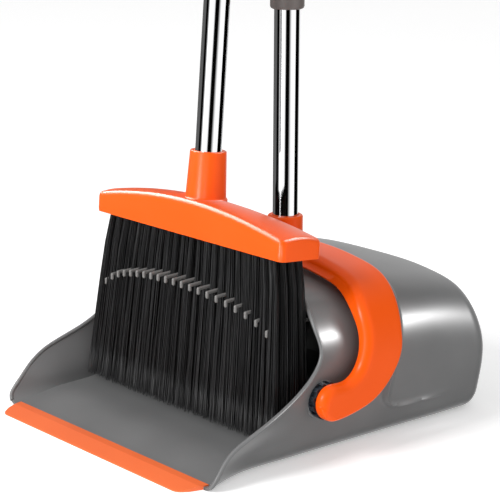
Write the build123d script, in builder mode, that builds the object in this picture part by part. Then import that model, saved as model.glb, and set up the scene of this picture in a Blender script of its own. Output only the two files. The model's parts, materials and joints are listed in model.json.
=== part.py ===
"""Upright dustpan and broom set: hooded pan, hinged long handle, broom clipped to the handle.

Millimetres. The origin is on the floor under the middle of the set, +X to the right, +Y to the
rear, +Z up. The pan's mouth faces -Y. Distances called d run rearwards from the pan's front edge.
"""

import math
import os

from build123d import *

os.makedirs("parts", exist_ok=True)

# ---- driving dimensions -------------------------------------------------------------------
pan_depth = 337.0          # front edge of the pan to its rear face
lip_reach = 21.0           # how far the rubber lip stands in front of the pan
front_y = (lip_reach - pan_depth) / 2.0   # the pan's front edge, so that the set is centred in Y
wall = 2.4                 # moulded wall thickness
seat_depth = 2.5           # how deep the yoke's seat is sunk below the rear bulge
lip_flap = 5.0             # how far the lip laps over the pan's floor
boss_r = 17.0

tube_r = 11.75             # chromed steel tubes of both handles
tube_wall = 0.8
bore_r = tube_r - tube_wall
collar_r = 15.5            # screw collars between the tube lengths
collar_length = 44.0
grip_r = 13.8

hub_d = 121.5              # hinge axis of the handle
hub_z = 54.0
hub_r = 15.5
ring_r = 16.2
boss_in = 136.0            # faces of the hub boss moulded into each side wall
boss_out = 146.6
yoke_in = 153.2            # inner and outer faces of the yoke's arms
yoke_out = 165.5
yoke_edge_r = 4.0
pin_r = 5.0
pin_head_in = 132.6        # inner face of a pin's head, and the blind end of the pin
pin_end = 158.0
running_gap = 0.08         # radial clearance of the hinge pins
ring_width = 6.3
notches = 12

pole_y = front_y + 208.4   # the dustpan's pole stands upright behind the hub
socket_top = 176.5
socket_r = 16.3
socket_floor = 150.0
pole_joint_1 = 387.0       # where the dustpan's tube lengths meet, and where its cap starts
pole_joint_2 = 663.0
pole_cap_z = 1035.0

clip_low = 700.0           # the clip that parks the broom on the pole
clip_height = 32.0
clip_gap = 0.35            # radial play of the broom's tube in the clip
hang_rise = 20.0           # hanging hole in each cap
hang_r = 4.5

lean = 4.3                 # degrees that the parked broom leans back
broom_y = front_y + 98.7   # where the broom's axis meets the floor
tip_z = 16.4               # bristle ends, along the broom's axis
head_z = 173.5             # underside of the brush head
head_half = 130.0
head_front = -23.5
head_rear = 22.5
neck_top = 247.8
broom_low = 225.8          # lower end of the broom's tube, its joints, and where its cap starts
broom_joints = (497.0, 759.0, 1021.0)
broom_cap_z = 1264.0

tuft_columns = 22
tuft_rows = 4
end_tufts_left_out = 1      # at each end of the rear row, which so clears the pan's hood
tuft_pitch = 10.9
tuft_front = -16.0
row_pitch = 9.2
tuft_sink = 9.0            # how deep the tufts are set in the head
row_splay = 1.25
tuft_root_r = 3.0
tuft_end_r = 4.1
splay = 1.10               # how much wider the bristles are at their ends

tooth_reach = 10           # teeth to each side of the middle one
tooth_r = 1.6
comb_bar_d = 144.0


def sin_of(degrees):
    return math.sin(math.radians(degrees))


def cos_of(degrees):
    return math.cos(math.radians(degrees))


def front_plane(d):
    """An upright plane facing the front, d behind the pan's front edge."""
    return Plane(origin=(0, front_y + d, 0), x_dir=(1, 0, 0), z_dir=(0, -1, 0))


def side_plane(x):
    """An upright plane facing +X, with its local x along +Y from the pan's front edge."""
    return Plane(origin=(x, front_y, 0), x_dir=(0, 1, 0), z_dir=(1, 0, 0))


def pole_plane(height):
    """A level plane on the axis of the dustpan's pole."""
    return Plane(origin=(0, pole_y, height))


broom_base = Plane(origin=(0, broom_y, 0), x_dir=(1, 0, 0), z_dir=Vector(0, 0, 1).rotate(Axis.X, -lean))


def broom_plane(height):
    """A plane square to the broom's axis, height along that axis."""
    return broom_base.offset(height)


def shoulder(half, low, top, steps=7, power=3.0):
    """Points of a rounded arch from (half, low) up to (0, top)."""
    points = []
    for i in range(steps + 1):
        u = 1.0 - (1.0 - i / steps) ** 1.6
        x = half * (1.0 - u) if i else half
        rise = (1.0 - (x / half) ** power) ** (1.0 / power)
        points.append((x, low + (top - low) * rise))
    return points


# ---- pan shell ------------------------------------------------------------------------------
# Each station: distance d, half-width of the flat base, half-width at waist height, half-width
# at shoulder height, height of the shoulder, height of the crown.
waist_z = 45.0
stations = [
    (0.0, 138.0, 164.0, 170.0, 90.0, 148.0),
    (25.0, 128.0, 161.0, 167.0, 89.0, 147.5),
    (55.0, 122.0, 155.5, 160.0, 88.0, 147.0),
    (90.0, 122.0, 149.5, 153.5, 86.0, 146.5),
    (130.0, 122.0, 145.5, 149.0, 84.0, 145.5),
    (208.0, 122.0, 145.2, 148.0, 78.0, 141.8),
    (262.0, 122.0, 145.0, 146.5, 70.0, 137.0),
    (300.0, 121.5, 144.5, 145.5, 62.0, 131.0),
    (337.0, 121.0, 144.0, 144.5, 55.0, 121.5),
]
below = 0.4                # the lofts start this far below the floor and are trimmed flat


def station_at(d):
    """The station at any distance, straight between the two that it lies between."""
    for near, far in zip(stations, stations[1:]):
        if d <= far[0]:
            share = (d - near[0]) / (far[0] - near[0])
            return (d,) + tuple(a + (b - a) * share for a, b in zip(near[1:], far[1:]))
    return (d,) + stations[-1][1:]


def pan_section(d, inset, floor):
    """One cross-section of the pan, drawn inwards by inset, with its base at floor."""
    base, waist, hood, low, top = station_at(d)[1:]
    arch = shoulder(hood - inset, low, top - inset)
    with BuildSketch(front_plane(d)) as section:
        with BuildLine():
            Line((-base, floor), (base, floor))
            for side in (1, -1):
                lower = [(base, floor), (base + 13.4 - inset * 0.7, floor + 6.2),
                         (base + 19.2 - inset, floor + 19.5), (waist - inset, waist_z)]
                Spline(*[(side * x, z) for x, z in lower + [arch[0]]],
                       tangents=((side, 0), (0, 1)))
                Spline(*[(side * x, z) for x, z in arch], tangents=((0, 1), (-side, 0)))
        make_face()
    return section.sketch.faces()[0]


def pan_body(inset, floor, first=0.0, rear=pan_depth, corner=22.0):
    """The pan's outside drawn inwards by inset, as a closed solid with a rounded rear."""
    bend = rear - corner
    along = [first] + [station[0] for station in stations[1:] if station[0] < bend - 8] + [bend]
    turns = [0, 25, 48, 68, 84]
    with BuildPart() as body:
        loft([pan_section(d, inset, floor) for d in along])
        if corner:
            loft([pan_section(bend + corner * sin_of(a), inset + corner * (1 - cos_of(a)),
                              floor + corner * (1 - cos_of(a))) for a in turns])
    return body.part


def side_prism(outline, reach=200.0):
    """A prism across the whole pan from an outline drawn on the side plane."""
    with BuildPart() as prism:
        with BuildSketch(side_plane(0)):
            add(outline)
        extrude(amount=reach, both=True)
    return prism.part


# Side views: everything above the rim, and everything behind the yoke's seat.
with BuildSketch() as mouth:
    with BuildLine():
        Polyline((-30, wall), (0, wall), (2, 9))
        Spline((2, 9), (20, 31), (52, 48), (90, 64.5), (108, 79), (116, 97), (113, 112),
               (113.5, 122), (118, 128.5), (127, 132.5), (134, 138), (140, 147))
        Polyline((140, 147), (142, 200), (-30, 200), (-30, wall))
    make_face()

with BuildSketch() as bulge_side:
    with BuildLine():
        Spline((240, 200), (239, 150), (222, 118), (206, 78), (199, 48))
        Spline((199, 48), (200, 36), (212, 28), (235, 26), tangents=((-0.1, -1), (1, -0.05)))
        Polyline((235, 26), (400, 24), (400, 200), (240, 200))
    make_face()

with BuildSketch() as bulge_inside:
    with BuildLine():
        Spline((243, 200), (242, 150), (225.5, 118), (209.5, 78), (202.5, 48))
        Spline((202.5, 48), (204, 38.5), (215, 31.5), (236, 29.6), tangents=((-0.1, -1), (1, -0.05)))
        Polyline((236, 29.6), (400, 27.6), (400, 200), (243, 200))
    make_face()

hump = [(lip_flap, wall), (45, 11.5), (80, 13.2), (110, 12.8), (145, wall)]
with BuildSketch() as floor_hump:
    with BuildLine():
        Spline(*hump, tangents=((1, 0.22), (1, 0)))
        Polyline(hump[-1], (150, wall), (150, 0), (lip_flap, 0), hump[0])
    make_face()

with BuildSketch() as under_hump:
    with BuildLine():
        Spline((14, -1), (46, 8.9), (80, 10.8), (108, 10.5), (136, -1))
        Line((136, -1), (14, -1))
    make_face()

outside = pan_body(0.0, -below)
seat = pan_body(seat_depth, -below, rear=pan_depth - 1.0)
cavity = pan_body(seat_depth + wall, wall, first=-2.0, rear=pan_depth - wall - 2.4, corner=18.0)
rear_cavity = pan_body(wall, wall, first=-2.0, rear=pan_depth - wall, corner=19.0)
mouth_prism = side_prism(mouth.sketch)

with BuildPart() as bulge:
    add(outside)
    add(side_prism(bulge_side.sketch), mode=Mode.INTERSECT)

with BuildPart() as bulge_cavity:
    add(rear_cavity)
    add(side_prism(bulge_inside.sketch), mode=Mode.INTERSECT)

with BuildPart() as front_floor:
    add(seat)
    add(side_prism(floor_hump.sketch), mode=Mode.INTERSECT)

with BuildPart() as pan_shell:
    add(seat)
    add(bulge.part)
    add(cavity, mode=Mode.SUBTRACT)
    add(bulge_cavity.part, mode=Mode.SUBTRACT)
    for side in (1, -1):
        with BuildSketch(side_plane(side * boss_in)):
            with Locations((hub_d, hub_z)):
                Circle(boss_r)
        extrude(amount=side * (boss_out - boss_in))
    add(mouth_prism, mode=Mode.SUBTRACT)
    add(front_floor.part)
    add(side_prism(under_hump.sketch, reach=114.0), mode=Mode.SUBTRACT)
    for side in (1, -1):
        with BuildSketch(side_plane(side * (boss_in - 2))):
            with Locations((hub_d, hub_z)):
                Circle(pin_r + running_gap)
        extrude(amount=side * 20, mode=Mode.SUBTRACT)
        with BuildSketch(side_plane(side * boss_out)):
            with Locations((hub_d, hub_z)):
                Circle(boss_r + 0.5)
        extrude(amount=side * 12, mode=Mode.SUBTRACT)
    with Locations((0, 0, -5)):
        Box(500, 500, 10, mode=Mode.SUBTRACT)
pan_shell.part.label = "pan_shell"

# ---- lip, comb and hinge rings --------------------------------------------------------------
with BuildPart() as lip_strip:
    with BuildSketch(side_plane(0)):
        with BuildLine():
            Polyline((-lip_reach, 0), (-lip_reach, 0.8), (-lip_reach + 1, 1.1), (-3, 3.6),
                     (lip_flap, 3.6), (lip_flap, wall), (0, wall), (0, 0), (-lip_reach, 0))
        make_face()
    extrude(amount=150, both=True)
    with BuildSketch(Plane.XY.offset(-1)):
        with BuildLine():
            corners = [(137.5, lip_flap), (136.5, 0), (133.0, -12), (127.0, -lip_reach)]
            edge = [(x, front_y + d) for x, d in corners]
            Polyline(*edge, *[(-x, y) for x, y in reversed(edge)], edge[0])
        outline = make_face()
        fillet(outline.vertices().sort_by(Axis.Y)[:2], 9)
    extrude(amount=10, mode=Mode.INTERSECT)
lip_strip.part.label = "lip_strip"


def tooth_height(u):
    """Height of the comb's teeth at their tips, u = 0 in the middle and 1 at either end."""
    return 136.0 - 17.0 * u ** 2 - 7.0 * u ** 8


def tooth_x(index):
    """Sideways place of a tooth: midway between two tufts at that tooth's height."""
    u = abs(index) / tooth_reach
    down = (head_z + tuft_sink - tooth_height(u)) / (head_z + tuft_sink - tip_z)
    return index * tuft_pitch * (1 + (splay - 1) * down)


comb_end = tooth_x(tooth_reach)
with BuildPart() as comb:
    add(cavity)
    with Locations((0, front_y + comb_bar_d, 150)):
        Box(2 * comb_end + 8, 6, 100, mode=Mode.INTERSECT)
    with BuildSketch(front_plane(comb_bar_d + 20)):
        with BuildLine():
            under = [(tooth_x(i), tooth_height(abs(i) / tooth_reach) - 0.5)
                     for i in range(-tooth_reach, tooth_reach + 1, 2)]
            Spline(*under)
            Polyline(under[-1], (comb_end + 10, under[-1][1] - 4), (comb_end + 10, 0),
                     (-comb_end - 10, 0), (-comb_end - 10, under[0][1] - 4), under[0])
        make_face()
    extrude(amount=40, mode=Mode.SUBTRACT)
    for i in range(-tooth_reach, tooth_reach + 1):
        u = abs(i) / tooth_reach
        tip = Vector(tooth_x(i), front_y + 77.5 + 10 * u ** 2, tooth_height(u))
        root = Vector(tip.X, front_y + comb_bar_d - 2, tip.Z + 2.8)
        with Locations(Plane(origin=tip, z_dir=root - tip).location):
            Cylinder(tooth_r, (root - tip).length, align=(Align.CENTER, Align.CENTER, Align.MIN))
        with Locations(tip, tip - Vector(0, 0, 3.6)):
            Sphere(tooth_r)
        with Locations(tip - Vector(0, 0, 1.8)):
            Cylinder(tooth_r, 3.6)
comb.part.label = "comb"


def hub_ring(side):
    """The notched ring on the outside of a hinge boss, standing out towards side."""
    start = side_plane(side * boss_out)
    with BuildPart() as ring:
        with BuildSketch(start):
            with Locations((hub_d, hub_z)):
                Circle(ring_r)
                Circle(pin_r + running_gap, mode=Mode.SUBTRACT)
                with PolarLocations(ring_r, notches):
                    Rectangle(3.4, 4.2, mode=Mode.SUBTRACT)
        extrude(amount=side * ring_width)
        with BuildSketch(start):
            with Locations((hub_d, hub_z)):
                Circle(ring_r)
                Circle(ring_r - 3.0, mode=Mode.SUBTRACT)
        extrude(amount=side * 1.2)
    return ring.part


with BuildPart() as hub_ring_left:
    add(hub_ring(-1))
hub_ring_left.part.label = "hub_ring_left"

with BuildPart() as hub_ring_right:
    add(hub_ring(1))
hub_ring_right.part.label = "hub_ring_right"

# ---- yoke and hinge pins --------------------------------------------------------------------
# Side view of one arm, from the hinge up: front edge, then rear edge, relative to the hinge.
arm_front = [(0, 15.5), (16, 15.7), (27, 23), (34, 38), (38, 55), (40, 70), (47, 88), (55, 106)]
arm_rear = [(94, 106), (89, 87), (84, 68), (80, 50), (77, 31), (66, 11), (45, -6), (22, -13),
            (0, -15.5)]


def at_hub(points):
    return [(hub_d + dy, hub_z + dz) for dy, dz in points]


def yoke_arch(half, top):
    """Front view of the yoke's outer or inner outline, as a closed face."""
    arch = shoulder(half, 85.0, top)
    with BuildSketch(front_plane(300)) as outline:
        with BuildLine():
            for side in (1, -1):
                Spline(*[(side * x, z) for x, z in arch], tangents=((0, 1), (-side, 0)))
            Polyline((half, 85), (half, 20), (-half, 20), (-half, 85))
        make_face()
    return outline.sketch


with BuildPart() as yoke:
    with BuildSketch(side_plane(0)):
        with BuildLine():
            front, rear = at_hub(arm_front), at_hub(arm_rear)
            Spline(*front, tangents=((1, 0), (0.45, 1)))
            Line(front[-1], rear[0])
            Spline(*rear, tangents=((-0.25, -1), (-1, 0)))
            RadiusArc(rear[-1], front[0], hub_r)
        make_face()
    extrude(amount=200, both=True)
    extrude(yoke_arch(yoke_out, 158.5), amount=300, mode=Mode.INTERSECT)
    extrude(yoke_arch(yoke_in, 145.8), amount=300, mode=Mode.SUBTRACT)
    fillet(yoke.edges().filter_by(lambda edge: edge.length > 60), yoke_edge_r)
    with BuildSketch(pole_plane(149)):
        Circle(socket_r)
    extrude(amount=socket_top - 149)
    with BuildSketch(pole_plane(socket_floor)):
        Circle(tube_r)
    extrude(amount=60, mode=Mode.SUBTRACT)
    for side in (1, -1):
        with BuildSketch(side_plane(side * (yoke_in - 1))):
            with Locations((hub_d, hub_z)):
                Circle(pin_r)
        extrude(amount=side * (pin_end - yoke_in + 1), mode=Mode.SUBTRACT)
yoke.part.label = "yoke"


def pivot_pin(side):
    """A hinge pin with its round head inside the pan and its end blind in the yoke."""
    with BuildPart() as pin:
        with BuildSketch(side_plane(side * pin_head_in)):
            with Locations((hub_d, hub_z)):
                Circle(12.0)
        extrude(amount=side * 3.0)
        with BuildSketch(side_plane(side * (pin_head_in + 3.0))):
            with Locations((hub_d, hub_z)):
                Circle(pin_r)
        extrude(amount=side * (pin_end - pin_head_in - 3.0))
    return pin.part


with BuildPart() as pivot_pin_left:
    add(pivot_pin(-1))
pivot_pin_left.part.label = "pivot_pin_left"

with BuildPart() as pivot_pin_right:
    add(pivot_pin(1))
pivot_pin_right.part.label = "pivot_pin_right"

# ---- pieces that both poles are made of -----------------------------------------------------


def tube(plane_at, low, high):
    with BuildPart() as piece:
        with BuildSketch(plane_at(low)):
            Circle(tube_r)
            Circle(bore_r, mode=Mode.SUBTRACT)
        extrude(amount=high - low)
    return piece.part


def turned(plane_at, low, profile):
    """A round piece from (radius, height above low) points, closed by itself."""
    level = plane_at(low)
    section_plane = Plane(origin=level.origin, x_dir=level.x_dir, z_dir=-level.y_dir)
    with BuildPart() as piece:
        with BuildSketch(section_plane):
            with BuildLine():
                Polyline(*profile, profile[0])
            make_face()
        revolve(axis=Axis(level.origin, level.z_dir))
    return piece.part


def end_plug(plane_at, low):
    """A plug pressed into a tube's lower end; its flange stands under the tube."""
    return turned(plane_at, low, [(0, 0), (tube_r, 0), (tube_r, 2), (bore_r, 2), (bore_r, 34),
                                  (bore_r - 1.5, 36), (0, 36)])


def joiner(plane_at, joint):
    """The spigot inside a tube joint; its flange stands between the two tube ends."""
    return turned(plane_at, joint - 32, [(0, 0), (bore_r - 1.5, 0), (bore_r, 2), (bore_r, 31),
                                         (tube_r, 31), (tube_r, 33), (bore_r, 33), (bore_r, 62),
                                         (bore_r - 1.5, 64), (0, 64)])


def collar(plane_at, joint):
    """The screw collar around a tube joint."""
    h = collar_length
    return turned(plane_at, joint - h / 2,
                  [(tube_r, 0), (collar_r - 2.2, 0), (collar_r - 0.7, 0.8), (collar_r, 2.4),
                   (collar_r, h - 13), (collar_r - 0.9, h - 12.2), (collar_r - 0.9, h - 10.8),
                   (collar_r, h - 10), (collar_r, h - 1.6), (collar_r - 1.4, h), (tube_r, h)])


def grip(plane_at, low, high, radius):
    """A ribbed plastic sleeve over a tube."""
    outer = [(radius - 1.3, 0), (radius, 1.6)]
    for rib in range(1, 5):
        at = (high - low) * rib / 5
        outer += [(radius, at - 3), (radius - 0.7, at - 2), (radius - 0.7, at + 2), (radius, at + 3)]
    outer += [(radius, high - low - 1.6), (radius - 1.3, high - low)]
    return turned(plane_at, low, [(tube_r, 0)] + outer + [(tube_r, high - low)])


def hanging_cap(plane_at, low, radius):
    """The closed top of a pole, plugged into its tube, with a hole through it to hang it by."""
    level = plane_at(low)
    with BuildPart() as piece:
        add(turned(plane_at, low, [(0, -26), (bore_r - 1.5, -26), (bore_r, -24), (bore_r, 0),
                                   (radius, 0), (radius, 26), (radius - 0.9, 32),
                                   (radius - 3.2, 36.8), (radius - 6.6, 39.4), (0, 40)]))
        across = Plane(origin=level.origin + level.z_dir * hang_rise, x_dir=level.y_dir,
                       z_dir=(1, 0, 0))
        with BuildSketch(across):
            Circle(hang_r)
        extrude(amount=30, both=True, mode=Mode.SUBTRACT)
    return piece.part


# ---- the dustpan's pole ---------------------------------------------------------------------
pole_low = socket_floor + 2.0
with BuildPart() as pole_plug:
    add(end_plug(pole_plane, socket_floor))
pole_plug.part.label = "pole_plug"

with BuildPart() as pole_tube_low:
    add(tube(pole_plane, pole_low, pole_joint_1 - 1))
pole_tube_low.part.label = "pole_tube_low"

with BuildPart() as pole_joiner_1:
    add(joiner(pole_plane, pole_joint_1))
pole_joiner_1.part.label = "pole_joiner_1"

with BuildPart() as pole_collar_1:
    add(collar(pole_plane, pole_joint_1))
pole_collar_1.part.label = "pole_collar_1"

with BuildPart() as pole_tube_mid:
    add(tube(pole_plane, pole_joint_1 + 1, pole_joint_2 - 1))
pole_tube_mid.part.label = "pole_tube_mid"

with BuildPart() as pole_joiner_2:
    add(joiner(pole_plane, pole_joint_2))
pole_joiner_2.part.label = "pole_joiner_2"

with BuildPart() as pole_collar_2:
    add(collar(pole_plane, pole_joint_2))
pole_collar_2.part.label = "pole_collar_2"

with BuildPart() as pole_tube_top:
    add(tube(pole_plane, pole_joint_2 + 1, pole_cap_z))
pole_tube_top.part.label = "pole_tube_top"

with BuildPart() as pole_grip:
    add(grip(pole_plane, pole_cap_z - 84, pole_cap_z, grip_r))
pole_grip.part.label = "pole_grip"

with BuildPart() as pole_cap:
    add(hanging_cap(pole_plane, pole_cap_z, grip_r))
pole_cap.part.label = "pole_cap"

# The clip holds the pole tightly and the parked broom loosely, open towards the front.
clip_web = (broom_plane(clip_low).origin + pole_plane(clip_low).origin) / 2
with BuildPart() as broom_clip:
    with BuildSketch(pole_plane(clip_low)):
        Circle(tube_r + 3.6)
        with Locations((0, clip_web.Y - pole_y)):
            Rectangle(9, pole_y - clip_web.Y + 20)
    extrude(amount=clip_height)
    with BuildSketch(broom_plane(clip_low + 2)):
        Circle(tube_r + clip_gap + 3.0)
    extrude(amount=clip_height)
    with BuildSketch(broom_plane(clip_low - 20)):
        Circle(tube_r + clip_gap)
        with Locations((0, -20)):
            Rectangle(19, 40)
    extrude(amount=clip_height + 60, mode=Mode.SUBTRACT)
    with BuildSketch(pole_plane(clip_low - 20)):
        Circle(tube_r)
    extrude(amount=clip_height + 40, mode=Mode.SUBTRACT)
broom_clip.part.label = "broom_clip"

# ---- brush head and bristles ----------------------------------------------------------------


def head_section(x, rise, shrink=0.0):
    """One cross-section of the brush head, x from its middle, its shoulders raised by rise."""
    with BuildSketch(Plane(origin=broom_plane(head_z).origin + Vector(x, 0, 0),
                           x_dir=broom_base.y_dir, z_dir=(1, 0, 0))) as section:
        front, rear = head_front + shrink, head_rear - shrink
        with BuildLine():
            Polyline((rear, shrink), (front, shrink), (front, 14.0 + rise - shrink))
            Spline((front, 14.0 + rise - shrink), (front + 2.2, 17.6 + rise - shrink),
                   (front + 9.0, 20.6 + rise - shrink), (0, 24.0 + rise - shrink),
                   (rear - 8.0, 19.8 + rise - shrink), (rear - 2.0, 16.6 + rise - shrink),
                   (rear, 13.0 + rise - shrink), tangents=((0, 1), (0, -1)))
            Line((rear, 13.0 + rise - shrink), (rear, shrink))
        make_face()
    return section.sketch.faces()[0]


def tuft_plane(column, row):
    """The plane at a tuft's root in its hole, facing along the tuft, and the tuft's length."""
    root = Vector((column + 0.5) * tuft_pitch, tuft_front + row * row_pitch, head_z + tuft_sink)
    end = Vector(root.X * splay, (root.Y + 1.8) * row_splay - 1.8, tip_z)
    root, end = [broom_base.from_local_coords(p) for p in (root, end)]
    return Plane(origin=root, z_dir=end - root), (end - root).length


def tuft_row(row):
    """One row of tufts, each widening from its root to its end."""
    tufts = []
    reach = tuft_columns // 2 - (end_tufts_left_out if row == tuft_rows - 1 else 0)
    for column in range(-reach, reach):
        level, length = tuft_plane(column, row)
        cone = Solid.make_cone(tuft_root_r, tuft_end_r, length, plane=level)
        tufts.append(cone)
    return tufts


rows = [tuft_row(row) for row in range(tuft_rows)]
with BuildPart() as brush_head:
    half_stations = [(0.0, 12.5), (30.0, 11.8), (70.0, 9.0), (105.0, 4.6), (head_half - 3.0, 0.8)]
    across = [(-x, rise) for x, rise in reversed(half_stations[1:])] + half_stations
    loft([head_section(x, rise) for x, rise in across])
    for side in (1, -1):
        loft([head_section(side * (head_half - 3.0), 0.8), head_section(side * head_half, 0.4, 2.4)],
             ruled=True)
    add(turned(broom_plane, head_z, [(0, 24), (21.0, 24), (19.4, 36.4), (17.8, 38.0), (17.0, 40.4),
                                     (15.8, neck_top - head_z - 1.2),
                                     (14.6, neck_top - head_z), (0, neck_top - head_z)]))
    with BuildSketch(broom_plane(broom_low - 2)):
        Circle(tube_r)
    extrude(amount=60, mode=Mode.SUBTRACT)
    for tufts in rows:
        add(tufts, mode=Mode.SUBTRACT)
brush_head.part.label = "brush_head"

with BuildPart() as tuft_row_1:
    add(rows[0])
tuft_row_1.part.label = "tuft_row_1"

with BuildPart() as tuft_row_2:
    add(rows[1])
tuft_row_2.part.label = "tuft_row_2"

with BuildPart() as tuft_row_3:
    add(rows[2])
tuft_row_3.part.label = "tuft_row_3"

with BuildPart() as tuft_row_4:
    add(rows[3])
tuft_row_4.part.label = "tuft_row_4"

# ---- the broom's pole -----------------------------------------------------------------------
with BuildPart() as broom_plug:
    add(end_plug(broom_plane, broom_low - 2))
broom_plug.part.label = "broom_plug"

with BuildPart() as broom_tube_low:
    add(tube(broom_plane, broom_low, broom_joints[0] - 1))
broom_tube_low.part.label = "broom_tube_low"

with BuildPart() as broom_joiner_1:
    add(joiner(broom_plane, broom_joints[0]))
broom_joiner_1.part.label = "broom_joiner_1"

with BuildPart() as broom_collar_1:
    add(collar(broom_plane, broom_joints[0]))
broom_collar_1.part.label = "broom_collar_1"

with BuildPart() as broom_tube_mid:
    add(tube(broom_plane, broom_joints[0] + 1, broom_joints[1] - 1))
broom_tube_mid.part.label = "broom_tube_mid"

with BuildPart() as broom_joiner_2:
    add(joiner(broom_plane, broom_joints[1]))
broom_joiner_2.part.label = "broom_joiner_2"

with BuildPart() as broom_collar_2:
    add(collar(broom_plane, broom_joints[1]))
broom_collar_2.part.label = "broom_collar_2"

with BuildPart() as broom_tube_high:
    add(tube(broom_plane, broom_joints[1] + 1, broom_joints[2] - 1))
broom_tube_high.part.label = "broom_tube_high"

with BuildPart() as broom_joiner_3:
    add(joiner(broom_plane, broom_joints[2]))
broom_joiner_3.part.label = "broom_joiner_3"

with BuildPart() as broom_middle_grip:
    add(grip(broom_plane, 931.0, 1052.0, 13.5))
broom_middle_grip.part.label = "broom_middle_grip"

with BuildPart() as broom_tube_top:
    add(tube(broom_plane, broom_joints[2] + 1, broom_cap_z))
broom_tube_top.part.label = "broom_tube_top"

with BuildPart() as broom_grip:
    add(grip(broom_plane, broom_cap_z - 84, broom_cap_z, grip_r))
broom_grip.part.label = "broom_grip"

with BuildPart() as broom_cap:
    add(hanging_cap(broom_plane, broom_cap_z, grip_r))
broom_cap.part.label = "broom_cap"

for piece in (pan_shell, lip_strip, comb, hub_ring_left, hub_ring_right, yoke, pivot_pin_left,
              pivot_pin_right, pole_plug, pole_tube_low, pole_joiner_1, pole_collar_1,
              pole_tube_mid, pole_joiner_2, pole_collar_2, pole_tube_top, pole_grip, pole_cap,
              broom_clip, brush_head, tuft_row_1, tuft_row_2, tuft_row_3, tuft_row_4, broom_plug,
              broom_tube_low, broom_joiner_1, broom_collar_1, broom_tube_mid, broom_joiner_2,
              broom_collar_2, broom_tube_high, broom_joiner_3, broom_middle_grip, broom_tube_top,
              broom_grip, broom_cap):
    export_step(piece.part, f"parts/{piece.part.label}.step")
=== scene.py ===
"""Upright dustpan and broom set: materials, bristles and finished surfaces on the CAD frame."""

import json
import math

import bpy
import numpy as np
from mathutils import Matrix, Vector


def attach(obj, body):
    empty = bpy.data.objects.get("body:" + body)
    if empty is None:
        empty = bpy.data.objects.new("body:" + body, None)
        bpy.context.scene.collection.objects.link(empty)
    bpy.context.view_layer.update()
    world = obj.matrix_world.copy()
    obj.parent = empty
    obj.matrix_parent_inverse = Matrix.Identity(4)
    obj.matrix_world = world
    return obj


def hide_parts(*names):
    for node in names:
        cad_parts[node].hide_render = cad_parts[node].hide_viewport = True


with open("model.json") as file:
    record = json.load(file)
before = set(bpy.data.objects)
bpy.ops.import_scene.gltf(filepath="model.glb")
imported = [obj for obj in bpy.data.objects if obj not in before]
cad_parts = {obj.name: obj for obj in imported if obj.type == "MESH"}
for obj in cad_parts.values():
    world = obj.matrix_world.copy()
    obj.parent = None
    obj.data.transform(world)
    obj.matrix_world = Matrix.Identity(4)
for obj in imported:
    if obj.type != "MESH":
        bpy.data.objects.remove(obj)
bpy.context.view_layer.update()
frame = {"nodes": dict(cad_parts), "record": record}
nodes = frame["nodes"]
rng = np.random.default_rng(7)

# ---- camera -----------------------------------------------------------------------------------
AZIMUTH, PITCH, ROLL = (math.radians(a) for a in (49.395, 13.811, 0.27))
CAMERA_AT = Vector((1.2059, -1.0259, 0.5396))


def camera_matrix():
    forward = Vector((-math.sin(AZIMUTH) * math.cos(PITCH), math.cos(AZIMUTH) * math.cos(PITCH),
                      -math.sin(PITCH)))
    level = Vector((math.cos(AZIMUTH), math.sin(AZIMUTH), 0))
    upward = level.cross(forward)
    right = level * math.cos(ROLL) + upward * math.sin(ROLL)
    up = upward * math.cos(ROLL) - level * math.sin(ROLL)
    turn = Matrix((right, up, -forward)).transposed().to_4x4()
    return Matrix.Translation(CAMERA_AT) @ turn


camera_data = bpy.data.cameras.new("camera")
camera_data.lens = 129.67
camera_data.sensor_width = 36.0
camera_data.clip_start = 0.05
camera = bpy.data.objects.new("camera", camera_data)
bpy.context.scene.collection.objects.link(camera)
camera.matrix_world = camera_matrix()
bpy.context.scene.camera = camera
bpy.context.scene.view_settings.view_transform = "Standard"


# ---- materials --------------------------------------------------------------------------------
def new_material(name):
    material = bpy.data.materials.new(name)
    material.use_nodes = True
    tree = material.node_tree
    shader = next(n for n in tree.nodes if n.type == "BSDF_PRINCIPLED")
    return material, tree, shader


def noise(tree, scale, detail=3.0, stretch=(1, 1, 1)):
    """A noise texture in object space, its pattern drawn out by stretch."""
    place = tree.nodes.new("ShaderNodeTexCoord")
    mapping = tree.nodes.new("ShaderNodeMapping")
    mapping.inputs["Scale"].default_value = stretch
    texture = tree.nodes.new("ShaderNodeTexNoise")
    texture.inputs["Scale"].default_value = scale
    texture.inputs["Detail"].default_value = detail
    tree.links.new(place.outputs["Object"], mapping.inputs["Vector"])
    tree.links.new(mapping.outputs["Vector"], texture.inputs["Vector"])
    return texture.outputs["Fac"]


def ramp(tree, value, stops):
    """A colour ramp with (position, colour) stops over value."""
    node = tree.nodes.new("ShaderNodeValToRGB")
    elements = node.color_ramp.elements
    elements[0].position, elements[0].color = stops[0][0], (*stops[0][1], 1)
    elements[1].position, elements[1].color = stops[-1][0], (*stops[-1][1], 1)
    for position, colour in stops[1:-1]:
        elements.new(position).color = (*colour, 1)
    tree.links.new(value, node.inputs["Fac"])
    return node.outputs["Color"]


def roughness_range(tree, shader, value, low, high):
    node = tree.nodes.new("ShaderNodeMapRange")
    node.inputs["From Min"].default_value = 0.3
    node.inputs["From Max"].default_value = 0.7
    node.inputs["To Min"].default_value = low
    node.inputs["To Max"].default_value = high
    tree.links.new(value, node.inputs["Value"])
    tree.links.new(node.outputs["Result"], shader.inputs["Roughness"])


def bump(tree, shader, value, height, strength=0.5):
    node = tree.nodes.new("ShaderNodeBump")
    node.inputs["Distance"].default_value = height
    node.inputs["Strength"].default_value = strength
    tree.links.new(value, node.inputs["Height"])
    tree.links.new(node.outputs["Normal"], shader.inputs["Normal"])


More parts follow.
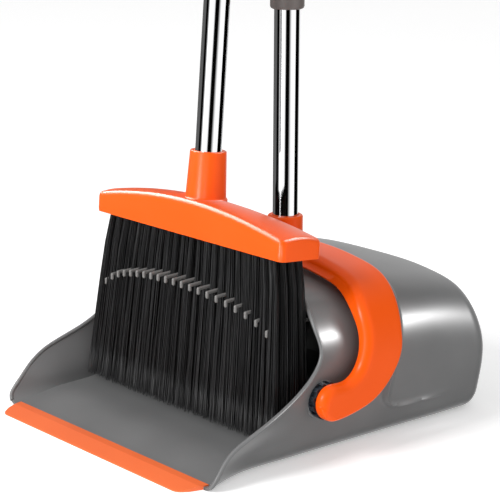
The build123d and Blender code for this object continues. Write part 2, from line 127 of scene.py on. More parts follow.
def plastic(name, colour, rough, grain=900.0, height=0.00004, shift=0.06, shine=0.5):
    """Moulded plastic: fine surface grain, slight flow marks in its colour and gloss."""
    material, tree, shader = new_material(name)
    flow = noise(tree, 14.0, 4.0)
    low = tuple(c * (1 - shift) for c in colour)
    high = tuple(min(1.0, c * (1 + shift)) for c in colour)
    tree.links.new(ramp(tree, flow, [(0.3, low), (0.7, high)]), shader.inputs["Base Color"])
    roughness_range(tree, shader, flow, rough * 0.92, rough * 1.08)
    bump(tree, shader, noise(tree, grain, 2.0), height, 0.35)
    shader.inputs["Specular IOR Level"].default_value = shine
    return material


def polished_steel():
    """Drawn and polished tube: fine lengthwise lines and a few faint smudges."""
    material, tree, shader = new_material("polished_steel")
    lines = noise(tree, 700.0, 2.0, (1, 1, 0.01))
    tree.links.new(ramp(tree, lines, [(0.3, (0.80, 0.80, 0.81)), (0.7, (0.87, 0.87, 0.88))]),
                   shader.inputs["Base Color"])
    shader.inputs["Metallic"].default_value = 1.0
    roughness_range(tree, shader, noise(tree, 30.0, 3.0), 0.05, 0.085)
    bump(tree, shader, lines, 0.000004, 0.2)
    return material


def bristle_material():
    """Black polypropylene filaments, some a little greyer than others."""
    material, tree, shader = new_material("bristle_black")
    streak = noise(tree, 420.0, 2.0, (1, 1, 0.02))
    tree.links.new(ramp(tree, streak, [(0.35, (0.004, 0.004, 0.0045)), (0.62, (0.012, 0.012, 0.013)),
                                       (0.75, (0.03, 0.03, 0.031))]), shader.inputs["Base Color"])
    roughness_range(tree, shader, streak, 0.42, 0.5)
    bump(tree, shader, noise(tree, 2500.0, 1.0), 0.00002, 0.3)
    return material


orange = plastic("orange_plastic", (1.0, 0.105, 0.002), 0.3, shift=0.03, shine=0.2)
grey = plastic("pan_grey", (0.168, 0.169, 0.170), 0.34, shine=0.4)
comb_grey = plastic("comb_grey", (0.2, 0.195, 0.19), 0.5)
ring_dark = plastic("ring_navy", (0.018, 0.026, 0.036), 0.4)
collar_brown = plastic("collar_taupe", (0.145, 0.125, 0.118), 0.42)
grip_black = plastic("grip_charcoal", (0.05, 0.05, 0.052), 0.55, grain=500.0, height=0.0001)
inner_grey = plastic("inner_grey", (0.12, 0.12, 0.12), 0.55)
lip_rubber = plastic("lip_rubber", (1.0, 0.18, 0.045), 0.5, grain=600.0, height=0.00007, shift=0.04)
steel = polished_steel()
black = bristle_material()

finish = {"pan_plastic": grey, "lip_rubber": lip_rubber, "comb_plastic": comb_grey,
          "ring_plastic": ring_dark, "orange_plastic": orange, "inner_plastic": inner_grey,
          "collar_plastic": collar_brown, "grip_plastic": grip_black, "tube_steel": steel,
          "bristle": black}
for entry in frame["record"]["subparts"]:
    mesh = nodes[entry["node"]].data
    mesh.materials.clear()
    mesh.materials.append(finish[entry["material_slot"]])

# ---- measures shared by the pieces ------------------------------------------------------------
MM = 0.001
FRONT_Y = -158.0
LEAN = math.radians(4.3)
BROOM_Y = FRONT_Y + 98.7


def broom_points(local):
    """Points in the broom's own frame (x, y square to its axis, height along it), in the row."""
    local = np.asarray(local, float)
    x, y, h = local[..., 0], local[..., 1], local[..., 2]
    return np.stack([x, BROOM_Y + y * math.cos(LEAN) + h * math.sin(LEAN),
                     h * math.cos(LEAN) - y * math.sin(LEAN)], -1) * MM


def make_piece(name, points, faces, material, body, slot, *replaced):
    """A smooth-shaded piece that rides on a body and stands in for the replaced nodes."""
    mesh = bpy.data.meshes.new(name)
    mesh.from_pydata([tuple(p) for p in points], [], [tuple(f) for f in faces])
    mesh.update()
    mesh.polygons.foreach_set("use_smooth", [True] * len(mesh.polygons))
    piece = bpy.data.objects.new(name, mesh)
    bpy.context.scene.collection.objects.link(piece)
    mesh.materials.append(material)
    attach(piece, body)
    if replaced:
        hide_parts(*replaced)
    return piece


# ---- bristles ---------------------------------------------------------------------------------
COLUMNS, ROWS = 22, 4
PITCH, ROW_PITCH = 10.5, 9.2
FIRST_ROW = -16.0
SPLAY, ROW_SPLAY = 1.142, 1.25
HEAD_Z, TIP_Z = 173.5, 16.4
ROOT_Z = HEAD_Z + 4.0   # the hairs start inside the head
ROOT_R, HAIR_R = 3.7, 0.5
FAN_CENTRE = -1.8       # the depth at which a hair stands straight, front to back
GOLDEN_TURN = 2.39996   # spreads a tuft's hairs evenly over its disc
HAIRS = 48
SIDES, RINGS = 3, 6


def tuft(column, row):
    """One tuft's hairs as (hairs, rings, 3) centre lines and (hairs, rings) radii."""
    root = np.array([(column + 0.5) * PITCH, FIRST_ROW + row * ROW_PITCH])
    tip = np.array([root[0] * SPLAY, (root[1] - FAN_CENTRE) * ROW_SPLAY + FAN_CENTRE])
    k = np.arange(HAIRS)
    radius = np.sqrt((k + 0.5) / HAIRS)
    angle = k * GOLDEN_TURN + rng.uniform(0, 6.28)
    disc = np.stack([radius * np.cos(angle), radius * np.sin(angle)], 1)
    disc += rng.normal(0, 0.05, disc.shape)
    end = disc * np.array([PITCH * SPLAY, ROW_PITCH * ROW_SPLAY]) * 0.53
    end = end + rng.normal(0, 0.7, end.shape)
    down = np.linspace(0, 1, RINGS)
    spread = down ** 1.25
    wave = rng.normal(0, 0.35, (HAIRS, 2))[:, None, :] * np.sin(down * math.pi)[None, :, None]
    flare = np.stack([down ** 0.6, down], -1)
    centre = (root + (tip - root) * flare)[None]
    across = centre + disc[:, None] * (ROOT_R - HAIR_R) * (1 - spread)[None, :, None]
    across = across + end[:, None] * spread[None, :, None] + wave
    reach = ROOT_Z - TIP_Z - rng.uniform(-0.4, 3.2, HAIRS)
    reach = reach - 2.2 * np.clip(radius - 0.6, 0, 1)
    height = ROOT_Z - reach[:, None] * down[None]
    lines = np.concatenate([across, height[..., None]], -1)
    thick = HAIR_R * np.where(down < 0.97, 1.0, 0.35)[None] * rng.uniform(0.8, 1.15, (HAIRS, 1))
    return lines, thick


def bristle_row(row):
    """One row of tufts as a single piece of thin, three-sided hairs."""
    lines, thick = zip(*[tuft(c, row) for c in range(-COLUMNS // 2, COLUMNS // 2)])
    lines, thick = np.concatenate(lines), np.concatenate(thick)
    turn = rng.uniform(0, 6.28, len(lines))[:, None] + np.arange(SIDES) * 2 * math.pi / SIDES
    ring = np.stack([np.cos(turn), np.sin(turn), np.zeros_like(turn)], -1)
    points = lines[:, :, None] + ring[:, None] * thick[:, :, None, None]
    count = len(lines)
    points = broom_points(points.reshape(-1, 3))
    faces = []
    for hair in range(count):
        base = hair * RINGS * SIDES
        for j in range(RINGS - 1):
            for i in range(SIDES):
                a, b = base + j * SIDES + i, base + j * SIDES + (i + 1) % SIDES
                faces.append((b, a, a + SIDES, b + SIDES))
        last = base + (RINGS - 1) * SIDES
        faces.append(tuple(last + i for i in range(SIDES)))
    make_piece(f"bristles_{row + 1}", points, faces, black, "broom", "bristle", f"tuft_row_{row + 1}")


for row in range(ROWS):
    bristle_row(row)

# ---- smooth curves ----------------------------------------------------------------------------
def spline(points, count, start=None, end=None):
    """A smooth curve through points, sampled evenly; start and end are its end directions."""
    p = np.asarray(points, float)
    h = np.linalg.norm(np.diff(p, axis=0), axis=1)
    n = len(p)
    a, b = np.zeros((n, n)), np.zeros_like(p)
    for i in range(1, n - 1):
        a[i, i - 1], a[i, i], a[i, i + 1] = 1 / h[i - 1], 2 / h[i - 1] + 2 / h[i], 1 / h[i]
        b[i] = 3 * ((p[i] - p[i - 1]) / h[i - 1] ** 2 + (p[i + 1] - p[i]) / h[i] ** 2)
    for i, j, direction in ((0, 1, start), (n - 1, n - 2, end)):
        if direction is None:
            a[i, i], a[i, j] = 2, 1
            b[i] = 3 * (p[j] - p[i]) / h[min(i, j)] * (1 if i == 0 else -1)
        else:
            a[i, i] = 1
            b[i] = np.asarray(direction, float) / np.linalg.norm(direction)
    slope = np.linalg.solve(a, b)
    u = np.concatenate([[0], np.cumsum(h)])
    t = np.linspace(0, u[-1], count)
    k = np.clip(np.searchsorted(u, t, side="right") - 1, 0, n - 2)
    w = ((t - u[k]) / h[k])[:, None]
    hk = h[k][:, None]
    return (p[k] * (1 + 2 * w) * (1 - w) ** 2 + slope[k] * hk * w * (1 - w) ** 2
            + p[k + 1] * w ** 2 * (3 - 2 * w) - slope[k + 1] * hk * w ** 2 * (1 - w))


ARCH_POWER, ARCH_POINTS, ARCH_SPACING = 3, 8, 1.6


def arch(half, low, top, count):
    """A rounded arch from (half, low) up to (0, top), as (x, z) points."""
    across = half * (1 - np.linspace(0, 1, ARCH_POINTS)) ** ARCH_SPACING
    heights = low + (top - low) * (1 - (across / half) ** ARCH_POWER) ** (1 / ARCH_POWER)
    return spline(np.stack([across, heights], -1), count, (0, 1), (-1, 0))


def smooth_step(x):
    """0 below 0, 1 above 1 and a smooth rise between."""
    x = np.clip(x, 0, 1)
    return x * x * (3 - 2 * x)


def grid_faces(rows, columns, start=0, wrap=False, flip=False):
    """Faces between a grid's neighbouring rows; wrap closes each row into a ring."""
    faces = []
    for j in range(rows - 1):
        for i in range(columns if wrap else columns - 1):
            a, b = start + j * columns + i, start + j * columns + (i + 1) % columns
            face = (a, b, b + columns, a + columns)
            faces.append(face[::-1] if flip else face)
    return faces


# ---- pan --------------------------------------------------------------------------------------
DEPTH, WALL, SEAT, CORNER = 337.0, 2.4, 2.5, 22.0
WAIST_Z = 45.0
HUB_D, HUB_Z = 121.5, 54.0   # the handle's hinge
STATIONS = np.array([
    (0.0, 138.0, 164.0, 170.0, 90.0, 148.0), (25.0, 128.0, 161.0, 167.0, 89.0, 147.5),
    (55.0, 122.0, 155.5, 160.0, 88.0, 147.0), (90.0, 122.0, 149.5, 153.5, 86.0, 146.5),
    (130.0, 122.0, 145.5, 149.0, 84.0, 145.5), (208.0, 122.0, 145.2, 148.0, 78.0, 141.8),
    (262.0, 122.0, 145.0, 146.5, 70.0, 137.0), (300.0, 121.5, 144.5, 145.5, 62.0, 131.0),
    (337.0, 121.0, 144.0, 144.5, 55.0, 121.5)])
LOW_COUNT, ARCH_COUNT = 50, 60
shape_table = spline(STATIONS, 400)


def half_section(d, inset, floor):
    """Half of the pan's outline at d, from its base up to the crown, as (x, z) points."""
    base, waist, hood, low, top = (np.interp(d, shape_table[:, 0], shape_table[:, k])
                                   for k in range(1, 6))
    lower = [(base, floor), (base + 13.4 - inset * 0.7, floor + 6.2),
             (base + 19.2 - inset, floor + 19.5), (waist - inset, WAIST_Z), (hood - inset, low)]
    side = spline(lower, LOW_COUNT, (1, 0), (0, 1))
    over = arch(hood - inset, low, top - inset, ARCH_COUNT)
    return np.concatenate([side, over[1:]])


mouth_curve = np.concatenate([[(0, WALL)], spline(
    [(2, 9), (22, 31), (55, 48), (94, 64.5), (113, 79), (122.5, 97), (122.5, 112), (125, 122),
     (129, 128.5), (133, 132.5), (137, 138), (141, 147)], 300)])
bulge_edge = np.concatenate([
    spline([(240, 200), (239, 150), (222, 118), (206, 78), (199, 48)], 200),
    spline([(199, 48), (200, 36), (212, 28), (235, 26)], 60, (-0.1, -1), (1, -0.05)),
    [(290, 25.3), (400, 24)]])


def bulge_share(d, z, soft=3.4):
    """0 in the yoke's seat and 1 on the rear bulge, with a soft step between them."""
    d, z = np.broadcast_arrays(d, z)
    flat = np.stack([d.ravel(), z.ravel()], -1)
    gap = np.full(len(flat), 1e9)
    for a, b in zip(bulge_edge, bulge_edge[1:]):
        ab = b - a
        t = np.clip(((flat - a) @ ab) / (ab @ ab), 0, 1)
        gap = np.minimum(gap, np.linalg.norm(flat - a - t[:, None] * ab, axis=1))
    edge_d = np.interp(flat[:, 1], bulge_edge[:260, 1][::-1], bulge_edge[:260, 0][::-1])
    below = 26 - np.clip(flat[:, 0] - 235, 0, None) * 2 / 165
    inside = (flat[:, 0] > edge_d) & (flat[:, 1] > below)
    share = smooth_step(np.where(inside, gap, -gap) / soft + 0.5)
    crest = 0.9 * np.exp(-((np.where(inside, gap, -gap) - 1.8) / 2.4) ** 2)
    crest = crest * (1 - smooth_step((flat[:, 0] - 245) / 50) * (flat[:, 1] < 60))
    fade = smooth_step((flat[:, 0] - 228) / 58) * (flat[:, 1] < 60)
    return (np.maximum(share, fade) + crest).reshape(d.shape)


def pan_skin(extra, rows, cap_rows):
    """A skin of the pan drawn inwards by extra: a (row, column, 3) grid from the mouth back."""
    bend = DEPTH - CORNER
    floor = extra
    steps = np.linspace(0, bend, 120)
    at_rest = np.array([half_section(d, extra + SEAT, floor) for d in steps])
    columns = at_rest.shape[1]
    start = np.zeros(columns)
    for j in range(columns):
        z = at_rest[:, j, 1]
        cut = np.interp(z, mouth_curve[:, 1], mouth_curve[:, 0])
        ahead = steps - cut
        inside = np.nonzero(ahead > 0)[0]
        k = inside[0] if len(inside) else 1
        if k == 0:
            continue
        w = -ahead[k - 1] / (ahead[k] - ahead[k - 1])
        start[j] = steps[k - 1] + w * (steps[k] - steps[k - 1])
    share = np.linspace(0, 1, rows)[:, None]
    depth = start[None] + (bend - start[None]) * share
    seat_grid, bulge_grid = np.empty((rows, columns, 2)), np.empty((rows, columns, 2))
    table = np.linspace(0, bend, 160)
    seat_table = np.array([half_section(d, extra + SEAT, floor) for d in table])
    bulge_table = np.array([half_section(d, extra, floor) for d in table])
    for j in range(columns):
        for k in range(2):
            seat_grid[:, j, k] = np.interp(depth[:, j], table, seat_table[:, j, k])
            bulge_grid[:, j, k] = np.interp(depth[:, j], table, bulge_table[:, j, k])
    blend = bulge_share(depth, seat_grid[..., 1])[..., None]
    flat = seat_grid * (1 - blend) + bulge_grid * blend
    grid = np.stack([flat[..., 0], depth, flat[..., 1]], -1)
    radius = CORNER - extra
    turns = np.radians(np.linspace(0, 90, cap_rows + 1)[1:])
    cap = []
    for a in turns:
        drawn = radius * (1 - math.cos(a))
        d = bend + radius * math.sin(a)
        ring = half_section(d, extra + drawn, floor + drawn)
        cap.append(np.stack([ring[:, 0], np.full(len(ring), d), ring[:, 1]], -1))
    return np.concatenate([grid, np.array(cap)])


def whole(half_grid):
    """Both sides from the right one: columns run up the right side and down the left."""
    left = half_grid[:, -2::-1] * np.array([-1, 1, 1])
    return np.concatenate([half_grid, left], 1)


def to_row(points):
    """(x, depth, z) points, with depth measured from the pan's front edge, in the row."""
    points = np.asarray(points, float).reshape(-1, 3)
    return (points + np.array([0, FRONT_Y, 0])) * MM


def sweep_ring(path, radius, sides=10):
    """A round bead along a path of (x, d, z) points, open at both ends."""
    path = np.asarray(path)
    along = np.gradient(path, axis=0)
    along /= np.linalg.norm(along, axis=1)[:, None]
    first = np.cross(along, (0, 1, 0.3))
    first /= np.linalg.norm(first, axis=1)[:, None]
    second = np.cross(along, first)
    turn = np.linspace(0, 2 * math.pi, sides, endpoint=False)
    ring = (first[:, None] * np.cos(turn)[None, :, None] + second[:, None] * np.sin(turn)[None, :, None])
    return path[:, None] + ring * radius


def build_pan():
    """The pan's skins, floor, rolled rim and hinge bosses as one piece."""
    outer = whole(pan_skin(0.0, 250, 12))
    inner = whole(pan_skin(WALL, 90, 8))
    points, faces = [], []

    def put(grid, wrap=False, flip=False):
        start = sum(len(p) for p in points)
        points.append(np.asarray(grid).reshape(-1, 3))
        faces.extend(grid_faces(grid.shape[0], grid.shape[1], start, wrap, flip))
        return start

    outer_at = put(outer, wrap=True)
    inner_at = put(inner, wrap=False, flip=True)
    columns = outer.shape[1]
    for i in range(columns - 1):
        a, b = outer_at + i, outer_at + i + 1
        faces.append((b, a, inner_at + i, inner_at + i + 1))
    for grid, at, flip in ((outer, outer_at, False), (inner, inner_at, True)):
        last = at + (grid.shape[0] - 1) * columns
        face = tuple(last + i for i in range(columns))
        faces.append(face[::-1] if flip else face)
    # The floor inside, with its low hump behind the front edge.
    hump = spline([(5, WALL), (45, 11.5), (80, 13.2), (110, 12.8), (145, WALL)], 120, (1, 0.22), (1, 0))
    depths = np.concatenate([np.linspace(0, 5, 3), np.linspace(7, 145, 70), np.linspace(155, 334, 16)])
    rows = []
    for d in depths:
        z = np.interp(d, hump[:, 0], hump[:, 1]) if 5 <= d <= 145 else WALL
        ring = half_section(d, WALL + SEAT, WALL)
        reach = np.interp(z, ring[:LOW_COUNT, 1], ring[:LOW_COUNT, 0]) + 0.8
        x = np.linspace(-1, 1, 41) * reach
        rows.append(np.stack([x, np.full_like(x, d), np.full_like(x, z)], -1))
    floor_grid = np.array(rows)
    put(floor_grid, flip=True)
    front = np.stack([floor_grid[0], floor_grid[0] * np.array([1, 1, 0])])
    put(front, flip=False)
    # The rolled rim.
    rim = (outer[0] + inner[0]) / 2
    rim = rim[rim[:, 2] > 3.2]
    step = np.concatenate([[0], np.cumsum(np.linalg.norm(np.diff(rim, axis=0), axis=1))])
    even = np.linspace(0, step[-1], 260)
    rim = np.stack([np.interp(even, step, rim[:, k]) for k in range(3)], -1)
    put(sweep_ring(rim, 1.95), wrap=True)
    # The hinge bosses.
    turn = np.linspace(0, 2 * math.pi, 48, endpoint=False)
    for side in (1, -1):
        profile = [(5.1, 136.0), (16.0, 136.0), (17.0, 137.0), (17.0, 145.8), (16.2, 146.6), (5.1, 146.6)]
        ring = [[(side * x, HUB_D + r * math.cos(t), HUB_Z + r * math.sin(t)) for t in turn]
                for r, x in profile]
        put(np.array(ring), wrap=True, flip=side > 0)
    mesh_points = to_row(np.concatenate(points))
    piece = make_piece("pan_body", mesh_points, faces, grey, "pan", "pan_plastic", "pan_shell")
    piece.data.set_sharp_from_angle(angle=math.radians(38))


build_pan()

# ---- brush head -------------------------------------------------------------------------------
HALF, HEAD_FRONT, HEAD_REAR, NECK_TOP = 130.0, -23.5, 22.5, 247.8
EDGE, UPRIGHT = 3.2, 6.0


def drop(t, radius):
    """How far a rounded edge falls at distance t from where the sharp one would be."""
    t = np.clip(t, 0, radius)
    return radius - np.sqrt(np.clip(radius ** 2 - (radius - t) ** 2, 0, None))


def head_ring(x):
    """One cross-section of the brush head at x: up the front, over the top and down the rear."""
    rise = 1 - (x / HALF) ** 2
    narrow = drop(HALF - abs(x), UPRIGHT)
    front, rear = HEAD_FRONT + narrow, HEAD_REAR - narrow
    fall = drop(HALF - abs(x), EDGE)
    share = np.concatenate([np.linspace(0, 0.06, 6), np.linspace(0.08, 0.92, 19), np.linspace(0.94, 1, 6)])
    y = front + (rear - front) * share
    ends = (16.9 + 14.4 * rise) * (1 - share) + (15.4 + 11.0 * rise) * share
    crown = (3.6 + 0.6 * rise) * 4 * share * (1 - share)
    near = np.minimum(y - front, rear - y)
    h = ends + crown * 0.92 - drop(near, EDGE) - fall
    side_low = np.linspace(0, 1, 6)[:-1]
    low = h[0] * side_low
    up = np.stack([np.full(5, front), low], -1)
    down = np.stack([np.full(5, rear), (h[-1] * side_low)[::-1]], -1)
    up[0, 0] += 0.6
    down[-1, 0] -= 0.6
    ring = np.concatenate([up, np.stack([y, h], -1), down])
    return np.stack([np.full(len(ring), x), ring[:, 0], ring[:, 1] + HEAD_Z], -1)


def build_head():
    """The brush head from cross-sections, closer together towards its rounded ends."""
    ends = HALF - UPRIGHT * (1 - np.cos(np.linspace(0, math.pi / 2, 9)))
    middle = np.linspace(0, HALF - UPRIGHT, 40)[:-1]
    right = np.concatenate([middle, ends[::-1]])
    stations = np.concatenate([-right[::-1], right[1:]])
    grid = np.array([head_ring(x) for x in stations])
    rows, columns = grid.shape[:2]
    faces = grid_faces(rows, columns, 0, True, flip=False)
    faces.append(tuple(range(columns))[::-1])
    faces.append(tuple((rows - 1) * columns + i for i in range(columns)))
    piece = make_piece("head_body", broom_points(grid.reshape(-1, 3)), faces, orange, "broom",
                       "orange_plastic", "brush_head")
    piece.data.set_sharp_from_angle(angle=math.radians(50))


def turned_piece(name, profile, place, material, body, slot, sides=72):
    """A round piece from (radius, height) points about an axis that place puts in the row."""
    turn = np.linspace(0, 2 * math.pi, sides, endpoint=False)
    grid = np.array([[(r * math.cos(t), r * math.sin(t), h) for t in turn] for r, h in profile])
    faces = grid_faces(len(profile), sides, 0, True)
    piece = make_piece(name, place(grid.reshape(-1, 3)), faces, material, body, slot)
    piece.data.set_sharp_from_angle(angle=math.radians(40))


def arc(centre, radius, start, end, count=8):
    return [(centre[0] + radius * math.cos(math.radians(a)), centre[1] + radius * math.sin(math.radians(a)))
            for a in np.linspace(start, end, count)]


build_head()
neck = [(19.4, HEAD_Z + 24)] + arc((21.4, HEAD_Z + 34.5), 3.4, 235, 182, 5)
neck += arc((15.2, NECK_TOP - 1.0), 1.0, 0, 90, 5) + [(12.6, NECK_TOP), (12.0, NECK_TOP - 0.6),
                                                     (11.85, NECK_TOP - 3)]
turned_piece("head_neck", neck, broom_points, orange, "broom", "orange_plastic")

# ---- yoke -------------------------------------------------------------------------------------
ARM_IN, ARM_OUT, HUB_R = 153.2, 165.5, 15.5
ARCH_LOW, ARCH_IN_TOP, ARCH_OUT_TOP = 85.0, 145.8, 158.5
ARM_FRONT = [(0, 15.5), (16, 15.7), (27, 23), (34, 38), (38, 55), (40, 70), (47, 88), (55, 106)]
ARM_REAR = [(0, -15.5), (22, -13), (45, -6), (66, 11), (77, 31), (80, 50), (84, 68), (89, 87),
            (94, 106)]
SOFT_FRONT, SOFT_REAR, SOFT_INNER = 8.0, 4.5, 3.0
TOE_POINTS = 24
EDGE_LEAN = 0.94   # how much closer a slanting edge is than it measures along the depth


def cut_at(curve, z):
    """The part of a (d, z) curve that lies below z, ending exactly there."""
    above = np.nonzero(curve[:, 1] > z)[0]
    above = above[above > len(curve) // 6][0]
    w = (z - curve[above - 1, 1]) / (curve[above, 1] - curve[above - 1, 1])
    end = curve[above - 1] + w * (curve[above] - curve[above - 1])
    return np.concatenate([curve[:above], end[None]])


def even_points(curve, count):
    """The same curve with count points, evenly spaced along it."""
    step = np.concatenate([[0], np.cumsum(np.linalg.norm(np.diff(curve, axis=0), axis=1))])
    t = np.linspace(0, 1, count) * step[-1]
    return np.stack([np.interp(t, step, curve[:, 0]), np.interp(t, step, curve[:, 1])], -1)


def edge_gap(points, outline):
    """The distance of each (d, z) point from an outline."""
    gap = np.full(len(points), 1e9)
    for a, b in zip(outline, outline[1:]):
        ab = b - a
        length = ab @ ab
        if length < 1e-9:
            continue
        t = np.clip(((points - a) @ ab) / length, 0, 1)
        gap = np.minimum(gap, np.linalg.norm(points - a - t[:, None] * ab, axis=1))
    return gap


def build_yoke():
    """The yoke's two arms and the arch between them, as one closed band of soft-edged rings."""
    hub = np.array([HUB_D, HUB_Z])
    front = spline(np.array(ARM_FRONT) + hub, 200, (1, 0), (0.45, 1))
    rear = spline(np.array(ARM_REAR) + hub, 200, (1, 0), (0.25, 1))
    toe = [(HUB_D - HUB_R * math.cos(a), HUB_Z + HUB_R * math.sin(a))
           for a in np.linspace(0, math.pi / 2, TOE_POINTS)]
    heel = [(d, 2 * HUB_Z - z) for d, z in toe]
    low_front = cut_at(np.concatenate([toe[:-1], front]), ARCH_LOW)
    low_rear = cut_at(np.concatenate([heel[:-1], rear]), ARCH_LOW)
    rows_low, rows_arch, across = 64, 60, 33
    round_rows = 22
    f, r = (np.concatenate([even_points(low_curve[:TOE_POINTS], round_rows)[:-1],
                            even_points(low_curve[TOE_POINTS - 1:], rows_low - round_rows + 1)])
            for low_curve in (low_front, low_rear))
    u = (1 - np.cos(np.linspace(0, math.pi, across))) / 2
    low = f[:, None] + (r - f)[:, None] * u[None, :, None]
    flat = low.reshape(-1, 2)
    near_front = edge_gap(flat, low_front).reshape(low.shape[:2])
    near_rear = edge_gap(flat, low_rear).reshape(low.shape[:2])
    outer_arch = arch(ARM_OUT, ARCH_LOW, ARCH_OUT_TOP, rows_arch + 1)[1:]
    inner_arch = arch(ARM_IN, ARCH_LOW, ARCH_IN_TOP, rows_arch + 1)[1:]
    half = {}
    for name, inward in (("outer", (SOFT_FRONT, SOFT_REAR)), ("inner", (SOFT_INNER, SOFT_INNER))):
        low_share = np.maximum(drop(near_front, inward[0]), drop(near_rear, inward[1])) / (ARM_OUT - ARM_IN)
        x = (ARM_OUT - low_share * (ARM_OUT - ARM_IN) if name == "outer"
             else ARM_IN + low_share * (ARM_OUT - ARM_IN))
        rows = [np.stack([x, low[..., 0], low[..., 1]], -1)]
        mine, other = (outer_arch, inner_arch) if name == "outer" else (inner_arch, outer_arch)
        arch_rows = []
        for (px, pz), (qx, qz) in zip(mine, other):
            df, dr = np.interp(pz, front[40:, 1], front[40:, 0]), np.interp(pz, rear[60:, 1], rear[60:, 0])
            d = df + (dr - df) * u
            gap_f, gap_r = (d - df) * EDGE_LEAN, (dr - d) * EDGE_LEAN
            thick = math.hypot(px - qx, pz - qz)
            share = np.maximum(drop(gap_f, inward[0]), drop(gap_r, inward[1])) / thick
            arch_rows.append(np.stack([px + (qx - px) * share, d, pz + (qz - pz) * share], -1))
        rows.append(np.array(arch_rows))
        half[name] = np.concatenate(rows)
    for name in ("outer", "inner"):
        right = half[name]
        left = right[-2::-1] * np.array([-1, 1, 1])
        half[name] = np.concatenate([right, left])
    loop = np.concatenate([half["outer"], half["inner"][:, ::-1]], 1)
    rows, columns = loop.shape[:2]
    faces = grid_faces(rows, columns, 0, True, flip=True)
    piece = make_piece("yoke_body", to_row(loop), faces, orange, "handle", "orange_plastic", "yoke")
    piece.data.validate()
    piece.data.set_sharp_from_angle(angle=math.radians(60))


build_yoke()


POLE_D = 208.4


def pole_points(local):
    """Points about the dustpan's upright pole, in the row."""
    local = np.asarray(local, float)
    return (local + np.array([0, FRONT_Y + POLE_D, 0])) * MM


socket = [(16.3, 150.0), (16.3, 174.6)] + arc((14.4, 174.6), 1.9, 0, 90, 6) + [
    (12.6, 176.5), (12.0, 175.9), (11.85, 173.0)]
turned_piece("yoke_socket", socket, pole_points, orange, "handle", "orange_plastic")

# ---- stage ------------------------------------------------------------------------------------
floor_mesh = bpy.data.meshes.new("floor")
floor_mesh.from_pydata([(-8, -8, 0), (8, -8, 0), (8, 8, 0), (-8, 8, 0)], [], [(0, 1, 2, 3)])
floor = bpy.data.objects.new("floor", floor_mesh)
bpy.context.scene.collection.objects.link(floor)
floor_material, _, floor_shader = new_material("floor_white")
floor_shader.inputs["Base Color"].default_value = (1.0, 1.0, 1.0, 1)
floor_shader.inputs["Roughness"].default_value = 0.9
floor_shader.inputs["Specular IOR Level"].default_value = 0.1
floor_shader.inputs["Emission Color"].default_value = (1, 1, 1, 1)
floor_shader.inputs["Emission Strength"].default_value = 0.3
floor_mesh.materials.append(floor_material)
floor.visible_glossy = False

# The studio: plain white all round for light, with dark and bright upright panels that only
# polished surfaces show. Angles are measured from the direction of the camera, to its right.
PANELS = [(-180, 0.13), (-101, 0.13), (-94, 0.0), (-73, 0.0), (-58, 1.2), (-52, 3.2), (-44, 3.2),
          (-38, 1.2), (-16, 1.2), (-8, 0.0), (20, 0.0), (40, 1.2), (78, 1.2), (88, 0.0), (130, 0.0),
          (145, 0.9), (180, 0.9)]


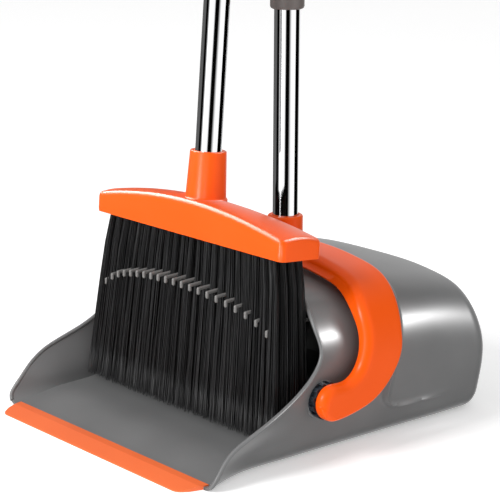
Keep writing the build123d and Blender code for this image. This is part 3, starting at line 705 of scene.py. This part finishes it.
def studio_world():
    """The world's light: panels and sky for glossy rays, plain white for all others."""
    world = bpy.data.worlds.new("studio")
    bpy.context.scene.world = world
    world.use_nodes = True
    tree = world.node_tree
    tree.nodes.clear()
    make, link = tree.nodes.new, tree.links.new

    def math_node(operation, a, b=None):
        node = make("ShaderNodeMath")
        node.operation = operation
        for socket, value in zip(node.inputs, (a, b)):
            if isinstance(value, (int, float)):
                socket.default_value = value
            elif value is not None:
                link(value, socket)
        return node.outputs[0]

    direction = make("ShaderNodeTexCoord")
    parts = make("ShaderNodeSeparateXYZ")
    link(direction.outputs["Generated"], parts.inputs[0])
    angle = math_node("ARCTAN2", parts.outputs["Y"], parts.outputs["X"])
    toward_camera = math.atan2(-math.cos(AZIMUTH), math.sin(AZIMUTH))
    turned = math_node("ADD", math_node("DIVIDE", math_node("SUBTRACT", angle, toward_camera),
                                        2 * math.pi), 1.5)
    share = math_node("FRACT", turned)
    panels = ramp(tree, share, [((a + 180) / 360, (v, v, v)) for a, v in PANELS])
    sky = make("ShaderNodeMapRange")
    sky.interpolation_type = "SMOOTHSTEP"
    for name, value in (("From Min", 0.55), ("From Max", 0.8), ("To Min", 0.0), ("To Max", 1.0)):
        sky.inputs[name].default_value = value
    link(parts.outputs["Z"], sky.inputs["Value"])
    upper = make("ShaderNodeMix")
    upper.data_type = "RGBA"
    link(sky.outputs["Result"], upper.inputs["Factor"])
    link(panels, upper.inputs["A"])
    upper.inputs["B"].default_value = (1.0, 1.0, 1.0, 1)
    path = make("ShaderNodeLightPath")
    mirror = make("ShaderNodeBackground")
    link(upper.outputs["Result"], mirror.inputs["Color"])
    plain = make("ShaderNodeBackground")
    plain.inputs["Color"].default_value = (1, 1, 1, 1)
    plain.inputs["Strength"].default_value = 0.62
    mixed = make("ShaderNodeMixShader")
    link(path.outputs["Is Glossy Ray"], mixed.inputs[0])
    link(plain.outputs[0], mixed.inputs[1])
    link(mirror.outputs[0], mixed.inputs[2])
    output = make("ShaderNodeOutputWorld")
    link(mixed.outputs[0], output.inputs["Surface"])


studio_world()


def area_light(name, place, target, size, power):
    """A rectangular light at place that faces target."""
    data = bpy.data.lights.new(name, "AREA")
    data.shape = "RECTANGLE"
    data.size, data.size_y = size
    data.energy = power
    light = bpy.data.objects.new(name, data)
    bpy.context.scene.collection.objects.link(light)
    light.location = place
    light.rotation_euler = (Vector(target) - Vector(place)).to_track_quat("-Z", "Y").to_euler()
    return light


area_light("key", (-0.2, -2.8, 1.9), (0, 0, 0.15), (1.0, 1.0), 75)
shoulder = area_light("shoulder", (1.55, 1.55, 1.02), (0.14, 0.12, 0.09), (1.1, 0.10), 120)
shoulder.visible_diffuse = False
pan_only = bpy.data.collections.new("shoulder_light_receivers")
pan_only.objects.link(bpy.data.objects["pan_body"])
shoulder.light_linking.receiver_collection = pan_only

# Lights that only put the moulded edges' highlights on the head and its neck.
head_only = bpy.data.collections.new("head_light_receivers")
for name in ("head_body", "head_neck"):
    head_only.objects.link(bpy.data.objects[name])
    bpy.data.objects[name].visible_glossy = False
HEAD_AT = Vector((0.0, -0.045, 0.21))
for name, direction, reach, size, power in (
        ("front_edge", (-0.74, -0.24, 0.63), 2.2, (2.4, 1.6), 300),
        ("end_edge", (0.24, 0.63, 0.74), 2.2, (1.6, 1.2), 150),
        ("corner_edge", (0.63, -0.74, -0.1), 1.2, (0.25, 0.3), 5),
        ("neck_strip", (0.13, -0.94, -0.1), 1.1, (0.08, 0.5), 12)):
    glint = area_light(name, HEAD_AT + Vector(direction) * reach, HEAD_AT, size, power)
    glint.visible_diffuse = False
    glint.visible_camera = False
    glint.light_linking.receiver_collection = head_only
